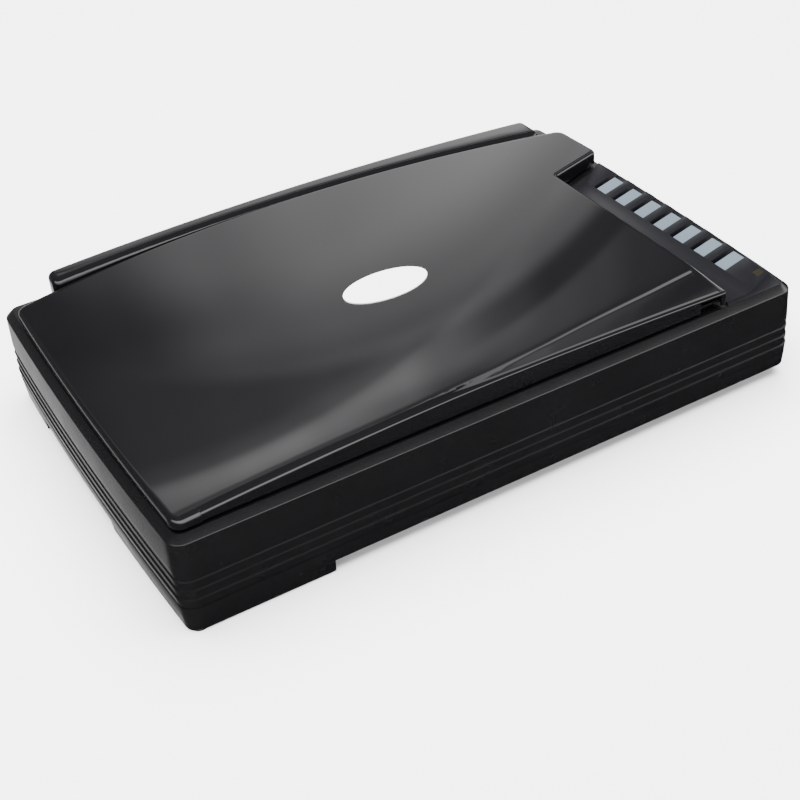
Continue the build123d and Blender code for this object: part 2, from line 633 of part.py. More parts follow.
with BuildPart() as slide_rail:
    slab((ROD_X[0], ROD_X[1] + 4), (RAIL_Y - 3, RAIL_Y + 3), (FLOOR_Z, 26))
    slab((ROD_X[0], ROD_X[1] + 4), (RAIL_Y - 9, RAIL_Y + 9), (FLOOR_Z, FLOOR_Z + 1.6))
save(slide_rail, "slide_rail")

BELT_Z = (24.3, 29.7)
with BuildPart() as drive_belt:
    with BuildSketch(Plane.XY.offset(BELT_Z[0])):
        span = PULLEY_X - IDLER_X
        with Locations(((PULLEY_X + IDLER_X) / 2, BELT_Y)):
            SlotCenterToCenter(span, 2 * (PULLEY_R + 1.2))
            SlotCenterToCenter(span, 2 * (PULLEY_R + 0.1), mode=Mode.SUBTRACT)
    extrude(amount=BELT_Z[1] - BELT_Z[0])
save(drive_belt, "drive_belt")

with BuildPart() as drive_pulley:
    post(PULLEY_X, BELT_Y, (23.0, 24.0), 8.6)
    post(PULLEY_X, BELT_Y, (24.0, 30.0), PULLEY_R)
    post(PULLEY_X, BELT_Y, (30.0, 31.0), 8.6)
    with BuildSketch(Plane.XY.offset(31.0)):
        with Locations((PULLEY_X, BELT_Y)):
            add(gear_outline(GEAR_TEETH))
    extrude(amount=5.0)
    post(PULLEY_X, BELT_Y, (20, 40), 2.05, mode=Mode.SUBTRACT)
save(drive_pulley, "drive_pulley")

GEAR_CENTRES = GEAR_MODULE * (GEAR_TEETH + PINION_TEETH) / 2
MOTOR_X = PULLEY_X + GEAR_CENTRES
with BuildPart() as motor_pinion:
    with BuildSketch(Plane.XY.offset(30.6)):
        with Locations(Location((MOTOR_X, BELT_Y, 0), (0, 0, 180 / PINION_TEETH))):
            add(gear_outline(PINION_TEETH))
    extrude(amount=6.0)
    post(MOTOR_X, BELT_Y, (36.6, 44.0), 2.0)
save(motor_pinion, "motor_pinion")

with BuildPart() as gear_axle:
    post(PULLEY_X, BELT_Y, (20.0, 40.0), 2.0)
    post(PULLEY_X, BELT_Y, (20.0, 22.6), 4.0)
save(gear_axle, "gear_axle")

with BuildPart() as motor_bracket:
    slab((PULLEY_X - 12, MOTOR_X + 20), (BELT_Y - 22, BELT_Y + 22), (38.4, 40.0))
    for x in (PULLEY_X - 9, MOTOR_X + 17):
        for side in (-1, 1):
            slab((x - 3, x + 3), (BELT_Y + side * 23.2 - 2, BELT_Y + side * 23.2 + 2), (FLOOR_Z, 40.0))
    post(PULLEY_X, BELT_Y, (38, 41), 2.0, mode=Mode.SUBTRACT)
    post(MOTOR_X, BELT_Y, (38, 41), 5.5, mode=Mode.SUBTRACT)
save(motor_bracket, "motor_bracket")

with BuildPart() as stepper_motor:
    post(MOTOR_X, BELT_Y, (41.5, 61.5), 17.5)
    fillet(stepper_motor.edges().filter_by(GeomType.CIRCLE), radius=1.2)
    slab((MOTOR_X - 12, MOTOR_X + 12), (BELT_Y - 22, BELT_Y + 22), (40.0, 41.5))
    post(MOTOR_X, BELT_Y, (39, 46), 3.0, mode=Mode.SUBTRACT)
save(stepper_motor, "stepper_motor")

with BuildPart() as idler_pulley:
    post(IDLER_X, BELT_Y, (23.0, 24.0), 8.6)
    post(IDLER_X, BELT_Y, (24.0, 30.0), PULLEY_R)
    post(IDLER_X, BELT_Y, (30.0, 31.0), 8.6)
    post(IDLER_X, BELT_Y, (20, 40), 2.05, mode=Mode.SUBTRACT)
save(idler_pulley, "idler_pulley")

with BuildPart() as idler_bracket:
    slab((IDLER_X - 6, IDLER_X + 22), (BELT_Y - 12, BELT_Y + 12), (FLOOR_Z, FLOOR_Z + 2))
    post(IDLER_X, BELT_Y, (FLOOR_Z, 32.0), 2.0)
    post(IDLER_X, BELT_Y, (FLOOR_Z, 22.8), 4.0)
    slab((IDLER_X + 19, IDLER_X + 22), (BELT_Y - 4, BELT_Y + 4), (FLOOR_Z, FLOOR_Z + 7))
save(idler_bracket, "idler_bracket")

with BuildPart() as tension_spring:
    # close-wound coil: touching turns, revolved about the line of the spring
    axis_z = FLOOR_Z + 4
    with BuildSketch(Plane.XZ.offset(-BELT_Y)):
        for turn in range(SPRING_TURNS):
            with Locations((IDLER_X + 22.6 + turn * SPRING_PITCH, axis_z + 2.4)):
                Circle(0.5)
    revolve(axis=Axis((0, BELT_Y, axis_z), (1, 0, 0)))
save(tension_spring, "tension_spring")

# --- electronics --------------------------------------------------------------------------
BOARD_X = (222.0, 278.0)
BOARD_Y = (62.0, 168.0)
with BuildPart() as main_board:
    slab(BOARD_X, BOARD_Y, (28.0, 29.6))
    slab((230, 264), (168, 178), (28.0, 29.6))
    for x in (BOARD_X[0] + 5, BOARD_X[1] - 5):
        for y in (BOARD_Y[0] + 5, BOARD_Y[1] - 5):
            post(x, y, (27, 31), 1.6, mode=Mode.SUBTRACT)
save(main_board, "main_board")

with BuildPart() as board_posts:
    for x in (BOARD_X[0] + 5, BOARD_X[1] - 5):
        for y in (BOARD_Y[0] + 5, BOARD_Y[1] - 5):
            post(x, y, (FLOOR_Z, 28.0), 3.5)
            post(x, y, (28.0, 29.6), 1.5)
            post(x, y, (29.6, 31.4), 2.8)
save(board_posts, "board_posts")

with BuildPart() as board_parts:
    slab((238, 258), (100, 120), (29.6, 31.4))
    slab((262, 272), (98, 112), (29.6, 31.2))
    slab((226, 234), (78, 94), (29.6, 33.6))
    for i in range(3):
        post(240 + 11 * i, 148, (29.6, 40), 4)
    slab((242, 264), (72, 78), (29.6, 35))
save(board_parts, "board_parts")

with BuildPart() as usb_socket:
    slab((232, 244), (177, 193.4), (30.0, 40.7))
    slab((233.7, 242.3), (184, 194), (31.5, 39.2), mode=Mode.SUBTRACT)
    slab((235.2, 240.8), (183, 192), (33.8, 36.9))
save(usb_socket, "usb_socket")

with BuildPart() as power_jack:
    slab((257.5, 266.5), (179, 193.4), (29.8, 40.7))
    with Locations((262, 189.5, 35.2)):
        Cylinder(3.2, 9, rotation=(90, 0, 0), mode=Mode.SUBTRACT)
        Cylinder(1.0, 7.4, rotation=(90, 0, 0))
save(power_jack, "power_jack")

with BuildPart() as flat_cable:
    slab((-190, 222), (-20, 0), (FLOOR_Z, FLOOR_Z + 0.4))
    slab((215, 222), (-20, 64), (FLOOR_Z, FLOOR_Z + 0.4))
save(flat_cable, "flat_cable")

with BuildPart() as lock_slider:
    slab((-246 + 0.5, -246 + 19.5), (92, 108), (ARCH_Z - 2.0, ARCH_Z - 0.3))
    slab((-246 + 0.5, -246 + 19.5), (97.4, 102.6), (ARCH_Z - 0.3, FLOOR_Z + 0.3))
    slab((-249, -246 + 22), (94, 106), (FLOOR_Z + 0.3, FLOOR_Z + 2.0))
    for i in range(4):
        slab((-244 + 4 * i, -242.6 + 4 * i), (92, 108), (ARCH_Z - 2.6, ARCH_Z - 2.0))
save(lock_slider, "lock_slider")
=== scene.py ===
import json
import math

import bmesh
import bpy
from mathutils import Matrix, Vector
from mathutils.geometry import delaunay_2d_cdt

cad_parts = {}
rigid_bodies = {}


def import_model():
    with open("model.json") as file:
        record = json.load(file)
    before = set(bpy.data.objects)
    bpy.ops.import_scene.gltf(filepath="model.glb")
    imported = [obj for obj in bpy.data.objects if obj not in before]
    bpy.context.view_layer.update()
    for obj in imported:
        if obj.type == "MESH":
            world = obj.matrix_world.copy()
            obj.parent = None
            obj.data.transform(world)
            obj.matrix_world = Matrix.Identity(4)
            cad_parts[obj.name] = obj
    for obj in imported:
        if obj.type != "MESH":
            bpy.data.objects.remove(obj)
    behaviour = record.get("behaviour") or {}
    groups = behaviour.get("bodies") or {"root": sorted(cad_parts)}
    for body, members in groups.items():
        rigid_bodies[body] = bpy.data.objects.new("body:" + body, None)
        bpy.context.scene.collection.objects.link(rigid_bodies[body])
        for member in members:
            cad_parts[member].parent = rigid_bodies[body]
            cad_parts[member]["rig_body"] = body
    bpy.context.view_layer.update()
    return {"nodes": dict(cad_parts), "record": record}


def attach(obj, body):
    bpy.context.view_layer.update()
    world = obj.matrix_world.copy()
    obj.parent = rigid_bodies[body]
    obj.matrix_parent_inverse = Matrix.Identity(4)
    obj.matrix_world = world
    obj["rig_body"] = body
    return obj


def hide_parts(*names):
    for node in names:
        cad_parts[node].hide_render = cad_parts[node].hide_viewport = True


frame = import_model()
NODES = frame["nodes"]
MM = 0.001

# --- materials --------------------------------------------------------------------------
MIRROR_LIMIT = 0.02
COAT_ROUGHNESS = 0.08
GRAIN_DEPTH = 0.2 * MM


def tint(colour, factor):
    """A colour scaled by a factor, with full alpha."""
    return tuple(min(1.0, c * factor) for c in colour) + (1.0,)


def finish_of(name, colour, rough, metallic=0.0, spread=0.12, wear=0.05, grain=0.0, grain_size=900.0,
              blotch=14.0, coat=0.0, ior=1.5, transmission=0.0, stretch=(1, 1, 1)):
    """Procedural finish: soft mottling of the colour, uneven gloss, and a fine moulded grain."""
    material = bpy.data.materials.new(name)
    material.use_nodes = True
    nodes = material.node_tree.nodes
    links = material.node_tree.links
    shader = nodes["Principled BSDF"]
    shader.inputs["Metallic"].default_value = metallic
    shader.inputs["IOR"].default_value = ior
    shader.inputs["Coat Weight"].default_value = coat
    shader.inputs["Coat Roughness"].default_value = COAT_ROUGHNESS
    shader.inputs["Transmission Weight"].default_value = transmission
    place = nodes.new("ShaderNodeTexCoord")
    mapping = nodes.new("ShaderNodeMapping")
    mapping.inputs["Scale"].default_value = stretch
    links.new(place.outputs["Object"], mapping.inputs["Vector"])

    def noise(scale, detail):
        pattern = nodes.new("ShaderNodeTexNoise")
        pattern.inputs["Scale"].default_value = scale
        pattern.inputs["Detail"].default_value = detail
        links.new(mapping.outputs["Vector"], pattern.inputs["Vector"])
        return pattern

    patches = noise(blotch, 5.0)
    patches.inputs["Roughness"].default_value = 0.6
    shades = nodes.new("ShaderNodeValToRGB")
    dark, light = shades.color_ramp.elements
    dark.position = 0.3
    dark.color = tint(colour, 1 - spread)
    light.position = 0.7
    light.color = tint(colour, 1 + spread)
    links.new(patches.outputs["Fac"], shades.inputs["Fac"])
    links.new(shades.outputs["Color"], shader.inputs["Base Color"])

    wipes = noise(blotch * 3, 6.0)
    gloss = nodes.new("ShaderNodeMapRange")
    gloss.inputs["To Min"].default_value = max(MIRROR_LIMIT, rough - wear)
    gloss.inputs["To Max"].default_value = rough + wear
    links.new(wipes.outputs["Fac"], gloss.inputs["Value"])
    links.new(gloss.outputs["Result"], shader.inputs["Roughness"])

    if grain:
        specks = noise(grain_size, 2.0)
        relief = nodes.new("ShaderNodeBump")
        relief.inputs["Strength"].default_value = grain
        relief.inputs["Distance"].default_value = GRAIN_DEPTH
        links.new(specks.outputs["Fac"], relief.inputs["Height"])
        links.new(relief.outputs["Normal"], shader.inputs["Normal"])
    return material


RECIPES = {
    # plastics of the casing and the lid
    "casing_black": dict(colour=(0.0032, 0.0030, 0.0034), rough=0.26, grain=0.05, grain_size=2600),
    "lid_gloss_black": dict(colour=(0.003, 0.003, 0.0034), rough=0.032, wear=0.008, blotch=5.0, spread=0.08),
    "panel_black": dict(colour=(0.003, 0.003, 0.004), rough=0.36, grain=0.12, grain_size=2600, ior=1.32),
    "inner_black": dict(colour=(0.004, 0.004, 0.0045), rough=0.42, grain=0.05, grain_size=1800),
    "switch_black": dict(colour=(0.03, 0.03, 0.03), rough=0.45),
    "button_grey": dict(colour=(0.064, 0.080, 0.098), rough=0.36, spread=0.04, grain=0.1, grain_size=2600,
                        coat=0.2),
    "badge_white": dict(colour=(0.93, 0.93, 0.93), rough=0.28, spread=0.02, coat=0.5),
    "amber_lens": dict(colour=(0.006, 0.0045, 0.001), rough=0.35, coat=0.05, blotch=160, spread=0.25),
    # glass, mirrors and lamp
    "platen_glass": dict(colour=(0.90, 0.95, 0.93), rough=0.03, wear=0.01, spread=0.01, transmission=1.0,
                         ior=1.46),
    "lamp_glass": dict(colour=(0.9, 0.9, 0.93), rough=0.12, spread=0.02, coat=0.6),
    "mirror_glass": dict(colour=(0.9, 0.9, 0.92), rough=0.04, metallic=1.0, wear=0.01),
    "reflector": dict(colour=(0.82, 0.82, 0.82), rough=0.12, metallic=1.0),
    "lens_black": dict(colour=(0.02, 0.02, 0.022), rough=0.35, metallic=0.4),
    # soft and printed parts
    "gasket_black": dict(colour=(0.012, 0.012, 0.012), rough=0.7, grain=0.2, grain_size=1500),
    "rubber": dict(colour=(0.010, 0.010, 0.011), rough=0.75, grain=0.35, grain_size=1600),
    "belt_rubber": dict(colour=(0.02, 0.02, 0.02), rough=0.7, grain=0.4, grain_size=900),
    "mat_white": dict(colour=(0.84, 0.84, 0.82), rough=0.55, spread=0.03, grain=0.25, grain_size=700),
    "foam_grey": dict(colour=(0.42, 0.42, 0.42), rough=0.9, spread=0.15, blotch=300, grain=0.8,
                      grain_size=900),
    "white_film": dict(colour=(0.86, 0.86, 0.85), rough=0.5, spread=0.03),
    "cable_white": dict(colour=(0.80, 0.80, 0.77), rough=0.5, spread=0.03, blotch=60, stretch=(0.05, 6, 1)),
    "circuit_board": dict(colour=(0.015, 0.13, 0.06), rough=0.4, spread=0.3, blotch=90),
    "chip_black": dict(colour=(0.02, 0.02, 0.02), rough=0.5, grain=0.2),
    # drive and fixings
    "glide_white": dict(colour=(0.76, 0.76, 0.73), rough=0.4, spread=0.04),
    "gear_white": dict(colour=(0.80, 0.80, 0.77), rough=0.42, spread=0.04),
    "screw_steel": dict(colour=(0.55, 0.55, 0.57), rough=0.32, metallic=1.0, stretch=(1, 1, 9)),
    "hinge_steel": dict(colour=(0.20, 0.20, 0.21), rough=0.42, metallic=0.9),
    "rod_steel": dict(colour=(0.6, 0.6, 0.62), rough=0.2, metallic=1.0, stretch=(0.3, 6, 6)),
    "bracket_steel": dict(colour=(0.5, 0.5, 0.52), rough=0.34, metallic=1.0),
    "motor_steel": dict(colour=(0.42, 0.42, 0.44), rough=0.36, metallic=1.0, stretch=(1, 1, 8)),
    "socket_metal": dict(colour=(0.6, 0.6, 0.62), rough=0.22, metallic=1.0),
    "bushing_brass": dict(colour=(0.55, 0.38, 0.15), rough=0.38, metallic=1.0),
}
FINISHES = {name: finish_of(name, **recipe) for name, recipe in RECIPES.items()}

slot_of = {entry["node"]: entry["material_slot"] for entry in frame["record"]["subparts"]}
for node, piece in NODES.items():
    piece.data.materials.clear()
    piece.data.materials.append(FINISHES[slot_of[node]])

# --- helpers for the finer pieces --------------------------------------------------------
SHARP_FOLD = math.radians(28)
SHARP_FOLD_OF_SOFTENED = math.radians(40)


def show(mesh, name, node):
    """Link a finished mesh as the look of a CAD node."""
    piece = bpy.data.objects.new(name, mesh)
    bpy.context.scene.collection.objects.link(piece)
    mesh.materials.append(FINISHES[slot_of[node]])
    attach(piece, NODES[node]["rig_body"])
    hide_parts(node)


def sharp_edges(work, fold):
    """Edges whose two faces meet at more than the fold angle."""
    return [e for e in work.edges if len(e.link_faces) == 2 and e.calc_face_angle() > fold]


def smooth(mesh, fold):
    """Smooth shading, kept crisp where faces meet at more than the fold angle."""
    work = bmesh.new()
    work.from_mesh(mesh)
    for item in (*work.faces, *work.edges):
        item.smooth = True
    for edge in sharp_edges(work, fold):
        edge.smooth = False
    work.to_mesh(mesh)
    work.free()


def softened(node, radius):
    """The CAD node with its sharp edges rounded."""
    work = bmesh.new()
    work.from_mesh(NODES[node].data)
    bmesh.ops.remove_doubles(work, verts=work.verts, dist=1e-6)
    bmesh.ops.dissolve_limit(work, angle_limit=math.radians(0.2), verts=work.verts, edges=work.edges)
    bmesh.ops.bevel(work, geom=sharp_edges(work, SHARP_FOLD), offset=radius, offset_type="OFFSET",
                    segments=2, profile=0.5, affect="EDGES", clamp_overlap=True, harden_normals=False)
    mesh = bpy.data.meshes.new(f"{node}_look")
    work.to_mesh(mesh)
    work.free()
    smooth(mesh, SHARP_FOLD_OF_SOFTENED)
    show(mesh, f"{node}_look", node)


EDGE_RADII = {"lower_casing": 0.9, "lid_frame": 0.4, "hinge_cover": 0.6, "button_panel": 0.5}
EDGE_RADII.update({f"button_{number}": 0.3 for number in range(1, 8)})
for node, radius in EDGE_RADII.items():
    softened(node, radius * MM)

# --- outlines and skins, in millimetres ---------------------------------------------------
CORNER_GAP = 0.4
MITER_LIMIT = 0.6
WELD = 0.004


def circle(a, b, c):
    """Centre and radius of the circle through three points."""
    d = 2 * (a[0] * (b[1] - c[1]) + b[0] * (c[1] - a[1]) + c[0] * (a[1] - b[1]))
    sa, sb, sc = (p[0] ** 2 + p[1] ** 2 for p in (a, b, c))
    x = (sa * (b[1] - c[1]) + sb * (c[1] - a[1]) + sc * (a[1] - b[1])) / d
    y = (sa * (c[0] - b[0]) + sb * (a[0] - c[0]) + sc * (b[0] - a[0])) / d
    return x, y, math.hypot(a[0] - x, a[1] - y)


def arc(a, b, c, count):
    """Points from a through b to c along their circle."""
    x, y, r = circle(a, b, c)
    first, middle, last = (math.atan2(p[1] - y, p[0] - x) for p in (a, b, c))
    span = (last - first) % math.tau
    if (middle - first) % math.tau > span:
        span -= math.tau
    return [(x + r * math.cos(first + span * i / count), y + r * math.sin(first + span * i / count))
            for i in range(count + 1)]


def straight(a, b, count):
    """Points from a to b."""
    return [(a[0] + (b[0] - a[0]) * i / count, a[1] + (b[1] - a[1]) * i / count) for i in range(count + 1)]


def rectangle(xs, ys):
    """Corners of a rectangle, counter-clockwise."""
    return [(xs[0], ys[0]), (xs[1], ys[0]), (xs[1], ys[1]), (xs[0], ys[1])]


def rounded_loop(sides, radii, steps):
    """Closed loop of side polylines that meet at corners; radii[i] rounds the start of side i."""
    count = len(sides)
    arcs, reaches = [], []
    for i, side in enumerate(sides):
        corner = Vector(side[0])
        came = (corner - Vector(sides[i - 1][-2])).normalized()
        goes = (Vector(side[1]) - corner).normalized()
        turn = math.atan2(came.x * goes.y - came.y * goes.x, came.dot(goes))
        reach = radii[i] * math.tan(abs(turn) / 2)
        start = corner - came * reach
        hub = start + Vector((-came.y, came.x)) * math.copysign(radii[i], turn)
        arm = start - hub
        arcs.append([tuple(hub + Matrix.Rotation(turn * k / steps, 2) @ arm) for k in range(steps + 1)])
        reaches.append(reach + CORNER_GAP)
    loop = []
    for i, side in enumerate(sides):
        loop += arcs[i]
        ends = (Vector(side[0]), reaches[i]), (Vector(side[-1]), reaches[(i + 1) % count])
        loop += [p for p in side[1:-1] if all((Vector(p) - end).length > reach for end, reach in ends)]
    return loop


def miter(loop, i):
    """Step from vertex i of a counter-clockwise loop that moves its two edges inward by one."""
    here = Vector(loop[i])
    a = (here - Vector(loop[i - 1])).normalized()
    b = (Vector(loop[(i + 1) % len(loop)]) - here).normalized()
    inward = Vector((-(a.y + b.y), a.x + b.x)).normalized()
    return inward / max(MITER_LIMIT, math.sqrt((1 + a.dot(b)) / 2))


def drawn_in(loop, distance):
    """A counter-clockwise loop moved inward by a distance, vertex by vertex."""
    return [tuple(Vector(point) + miter(loop, i) * distance) for i, point in enumerate(loop)]


def holds(loop, x, y):
    """True if the point lies inside the loop."""
    inside = False
    for i, (x1, y1) in enumerate(loop):
        x0, y0 = loop[i - 1]
        if (y0 > y) != (y1 > y) and x < (x1 - x0) * (y - y0) / (y1 - y0) + x0:
            inside = not inside
    return inside


def filled(loop, holes=(), inner=()):
    """Points and triangles of the area inside a loop, round its holes, using extra inner points."""
    points, edges = [], []
    for ring in (loop, *holes):
        base = len(points)
        points += [Vector(p) for p in ring]
        edges += [(base + i, base + (i + 1) % len(ring)) for i in range(len(ring))]
    points += [Vector(p) for p in inner]
    out, _, faces, *_ = delaunay_2d_cdt(points, edges, [], 0, 1e-4)
    kept = []
    for face in faces:
        x = sum(out[i].x for i in face) / len(face)
        y = sum(out[i].y for i in face) / len(face)
        if holds(loop, x, y) and not any(holds(hole, x, y) for hole in holes):
            kept.append(tuple(face))
    return [tuple(p) for p in out], kept


class Skin:
    """Collects rings of points, the bands between rings and filled caps into one mesh."""

    def __init__(self):
        self.points, self.faces = [], []

    def ring(self, loop, height):
        base = len(self.points)
        self.points += [(x, y, height(x, y) if callable(height) else height) for x, y in loop]
        return list(range(base, base + len(loop)))

    def bands(self, rings):
        for one, other in zip(rings, rings[1:]):
            count = len(one)
            self.faces += [(one[i], one[(i + 1) % count], other[(i + 1) % count], other[i])
                           for i in range(count)]

    def cap(self, fill, height):
        ring = self.ring(fill[0], height)
        self.faces += [tuple(ring[i] for i in face) for face in fill[1]]

    def mesh(self, name):
        work = bmesh.new()
        made = [work.verts.new([c * MM for c in p]) for p in self.points]
        for face in self.faces:
            work.faces.new([made[i] for i in face])
        bmesh.ops.remove_doubles(work, verts=work.verts, dist=WELD * MM)
        bmesh.ops.dissolve_degenerate(work, edges=work.edges, dist=1e-6)
        bmesh.ops.recalc_face_normals(work, faces=work.faces)
        mesh = bpy.data.meshes.new(name)
        work.to_mesh(mesh)
        work.free()
        return mesh


def cut(piece_mesh, boxes, name):
    """The mesh, smoothly shaded, with boxes given by their limits in millimetres taken out of it."""
    body = bpy.data.objects.new(name, piece_mesh)
    bpy.context.scene.collection.objects.link(body)
    work = bmesh.new()
    for limits in boxes:
        for v in bmesh.ops.create_cube(work, size=1)["verts"]:
            v.co = Vector([(low if c < 0 else high) * MM for c, (low, high) in zip(v.co, limits)])
    cutter_mesh = bpy.data.meshes.new("cutter")
    work.to_mesh(cutter_mesh)
    work.free()
    cutter = bpy.data.objects.new("cutter", cutter_mesh)
    bpy.context.scene.collection.objects.link(cutter)
    step = body.modifiers.new("cut", "BOOLEAN")
    step.operation, step.object, step.solver = "DIFFERENCE", cutter, "EXACT"
    shaped = bpy.data.meshes.new_from_object(body.evaluated_get(bpy.context.evaluated_depsgraph_get()))
    for extra in (body, cutter):
        bpy.data.objects.remove(extra)
    smooth(shaped, SHARP_FOLD)
    return shaped


# --- upper casing --------------------------------------------------------------------------
HALF_X, HALF_Y, BOW, CORNER = 289.9, 193.1, 4.6, 13.0
PARTING, RIM, DECK, BEVEL = 24.7, 87.15, 93.2, 6.05
DECK_EDGE = BEVEL + 6
RIDGES, RIDGE_STEP, RIDGE_ROUND = (33.2, 42.2, 51.5), 1.2, 1.0
GROOVE_DEPTH, GROOVE_START, GROOVE_END = 0.9, 0.1, 8
LEAN = math.tan(math.radians(1.3))
CASE_WALL, PARTING_INSET = 2.6, 2.2
HINGE_X, HINGE_OPENING = (-150, 150), 14.5


def case_loop(inset):
    """Plan outline of the casing, drawn in from the rim by inset."""
    x, y = HALF_X - inset, HALF_Y - inset
    sides = [straight((-x, -y), (x, -y), 20), arc((x, -y), (x + BOW, 0), (x, y), 20),
             straight((x, y), (-x, y), 20), arc((-x, y), (-x - BOW, 0), (-x, -y), 20)]
    return rounded_loop(sides, [max(CORNER - inset, 2.0)] * 4, steps=8)


def lean(z):
    """Inset of the plain wall at a height: it leans inward towards the rim."""
    return (z - RIM) * LEAN


def rounded_profile(profile, radius, steps=3):
    """An open (inset, z) profile with its inner corners rounded, more tightly above the ridges."""
    out = [profile[0]]
    for before, here, after in zip(profile, profile[1:], profile[2:]):
        b, h, a = Vector(before), Vector(here), Vector(after)
        wanted = radius if h.y < RIDGES[-1] + 1 else 0.6 * radius
        reach = min(wanted, (h - b).length * 0.6, (a - h).length * 0.4)
        start, end = h + (b - h).normalized() * reach, h + (a - h).normalized() * reach
        for k in range(steps + 1):
            t = k / steps
            out.append(tuple((1 - t) ** 2 * start + 2 * t * (1 - t) * h + t * t * end))
    return out + [profile[-1]]


steps_up = [(PARTING_INSET, PARTING), (lean(PARTING) + RIDGE_STEP, PARTING)]
for low in RIDGES[:-1]:
    steps_up += [(lean(low), low), (lean(low) + RIDGE_STEP, low)]
top_ridge = RIDGES[-1]
steps_up += [(lean(top_ridge), top_ridge), (lean(top_ridge) + GROOVE_DEPTH, top_ridge + GROOVE_START),
             (lean(top_ridge + GROOVE_END), top_ridge + GROOVE_END)]
outside = rounded_profile(steps_up + [(0, RIM), (BEVEL, DECK), (DECK_EDGE, DECK)], RIDGE_ROUND)
inside = [(DECK_EDGE, DECK - CASE_WALL), (BEVEL + 0.6, DECK - CASE_WALL), (CASE_WALL, RIM - 1),
          (PARTING_INSET, PARTING)]
glass_window = rectangle((-256, 194), (-154, 154))
button_window = rectangle((250, 277), (-153.6, 48.4))
hinge_windows = [rectangle((x - HINGE_OPENING, x + HINGE_OPENING), (174.5, 182.5)) for x in HINGE_X]
windows = (glass_window, button_window, *hinge_windows)

casing = Skin()
casing.bands([casing.ring(case_loop(inset), z) for inset, z in outside])
casing.cap(filled(case_loop(DECK_EDGE), windows), DECK)
for window in windows:
    casing.bands([casing.ring(window, DECK), casing.ring(window, DECK - CASE_WALL)])
casing.bands([casing.ring(case_loop(inset), z) for inset, z in inside])
casing.cap(filled(case_loop(DECK_EDGE), windows), DECK - CASE_WALL)
SOCKET_XS, SOCKET_Y, SOCKET_Z = ((231.8, 244.2), (257.3, 266.7)), (180, 200), (29.6, 40.9)
sockets = [(xs, SOCKET_Y, SOCKET_Z) for xs in SOCKET_XS]
show(cut(casing.mesh("upper_casing_skin"), sockets, "upper_casing_look"), "upper_casing_look", "upper_casing")

# --- lid ------------------------------------------------------------------------------------
LID_BASE, LID_WALL = 96.5, 2.4
LID_FRONT, LID_LEFT, LID_RIGHT = -188.0, -284.3, 219.5
REAR = circle((279.0, 143.0), (0.0, 171.7), (LID_LEFT, 162.0))
ARCH_X = (-262.0, 214.0)
FRONT_ZONE = LID_FRONT + 4
CROWN_X, CROWN_TOP, CROWN_BEND_LEFT, CROWN_BEND_RIGHT = -5, 117.3, 1.4e-4, 1.0e-4
FRONT_LIP = 2.9
ROLL_DROP, ROLL_START, ROLL_LENGTH = 0.3, 1.5, 3.0
CREASE = ((-290, -184.0), (-150, -183.6), (-92, -182.0), (-50, -179.6), (0, -176.0), (50, -170.5),
          (100, -163.5), (160, -156.0), (219, -147.0), (290, -140.0))
CREASE_BLEND = ((-290, 1.6), (-50, 1.6), (219, 6.0))
FRONT_TOP = ((-290, 102.8), (-263, 104.3), (-223, 107.2), (-182, 109.4), (-139, 111.6), (-96, 113.5),
             (-52, 114.9), (-6, 115.3), (41, 114.9), (89, 113.7), (139, 112.1), (180, 110.6), (219, 109.0))


def between(x, table):
    """Straight-line reading of a table of (x, value) rows."""
    for (x0, v0), (x1, v1) in zip(table, table[1:]):
        if x <= x1:
            return v0 + (v1 - v0) * max(0.0, x - x0) / (x1 - x0)
    return table[-1][1]


def rear_edge(x):
    """Where the lid's bowed rear edge runs."""
    return REAR[1] + math.sqrt(REAR[2] ** 2 - (x - REAR[0]) ** 2)


def crown(x):
    """Height of the lid along its middle: a long arch, a little flatter towards the buttons."""
    bend = CROWN_BEND_LEFT if x < CROWN_X else CROWN_BEND_RIGHT
    return CROWN_TOP - bend * (x - CROWN_X) ** 2


def lid_top(x, y):
    """Height of the lid's face: the crown, falling away in front of the crease."""
    line = between(x, CREASE)
    ahead = line - y
    blend = between(x, CREASE_BLEND)
    soft = (ahead + math.sqrt(ahead * ahead + blend * blend)) / 2
    roll = ROLL_DROP * (1 - math.exp(-(max(0.0, ahead + ROLL_START) / ROLL_LENGTH) ** 2))
    fall = (crown(x) - ROLL_DROP - between(x, FRONT_TOP)) / (line - LID_FRONT)
    return crown(x) - fall * soft - roll


def lower_edge(x, y):
    """Height of the lid's lower edge: level, except for the arch along the front."""
    if y < FRONT_ZONE and ARCH_X[0] < x < ARCH_X[1]:
        return between(x, FRONT_TOP) - FRONT_LIP
    return LID_BASE


def lid_rounding(x, y):
    """Radius of the lid's upper edge: larger at the left end, small along the front."""
    if x < ARCH_X[0]:
        return 3.8
    return 2.2 if y < FRONT_ZONE else 2.8


front_right, tab_front = (LID_RIGHT, LID_FRONT), (221.5, 62)
tab_corner, rear_right = (284, 84), (282, rear_edge(282))
rear_left, left_bulge, front_left = (LID_LEFT, rear_edge(LID_LEFT)), (-287.9, -13), (LID_LEFT, LID_FRONT)
arch_ends = [[end - 0.1, end + 0.1] for end in ARCH_X]
front_stops = [LID_LEFT, *arch_ends[0], *range(-250, 201, 10), *arch_ends[1], LID_RIGHT]
lid_sides = [
    [(x, LID_FRONT) for x in front_stops],
    straight(front_right, tab_front, 26),
    straight(tab_front, tab_corner, 6),
    straight(tab_corner, rear_right, 5),
    arc(rear_right, (0, rear_edge(0)), rear_left, 44),
    arc(rear_left, left_bulge, front_left, 30),
]
outer = rounded_loop(lid_sides, [10, 2.5, 4, 8, 10, 10], steps=6)
lower_z = [lower_edge(x, y) for x, y in outer]
rounding = [lid_rounding(x, y) for x, y in outer]
lid = Skin()


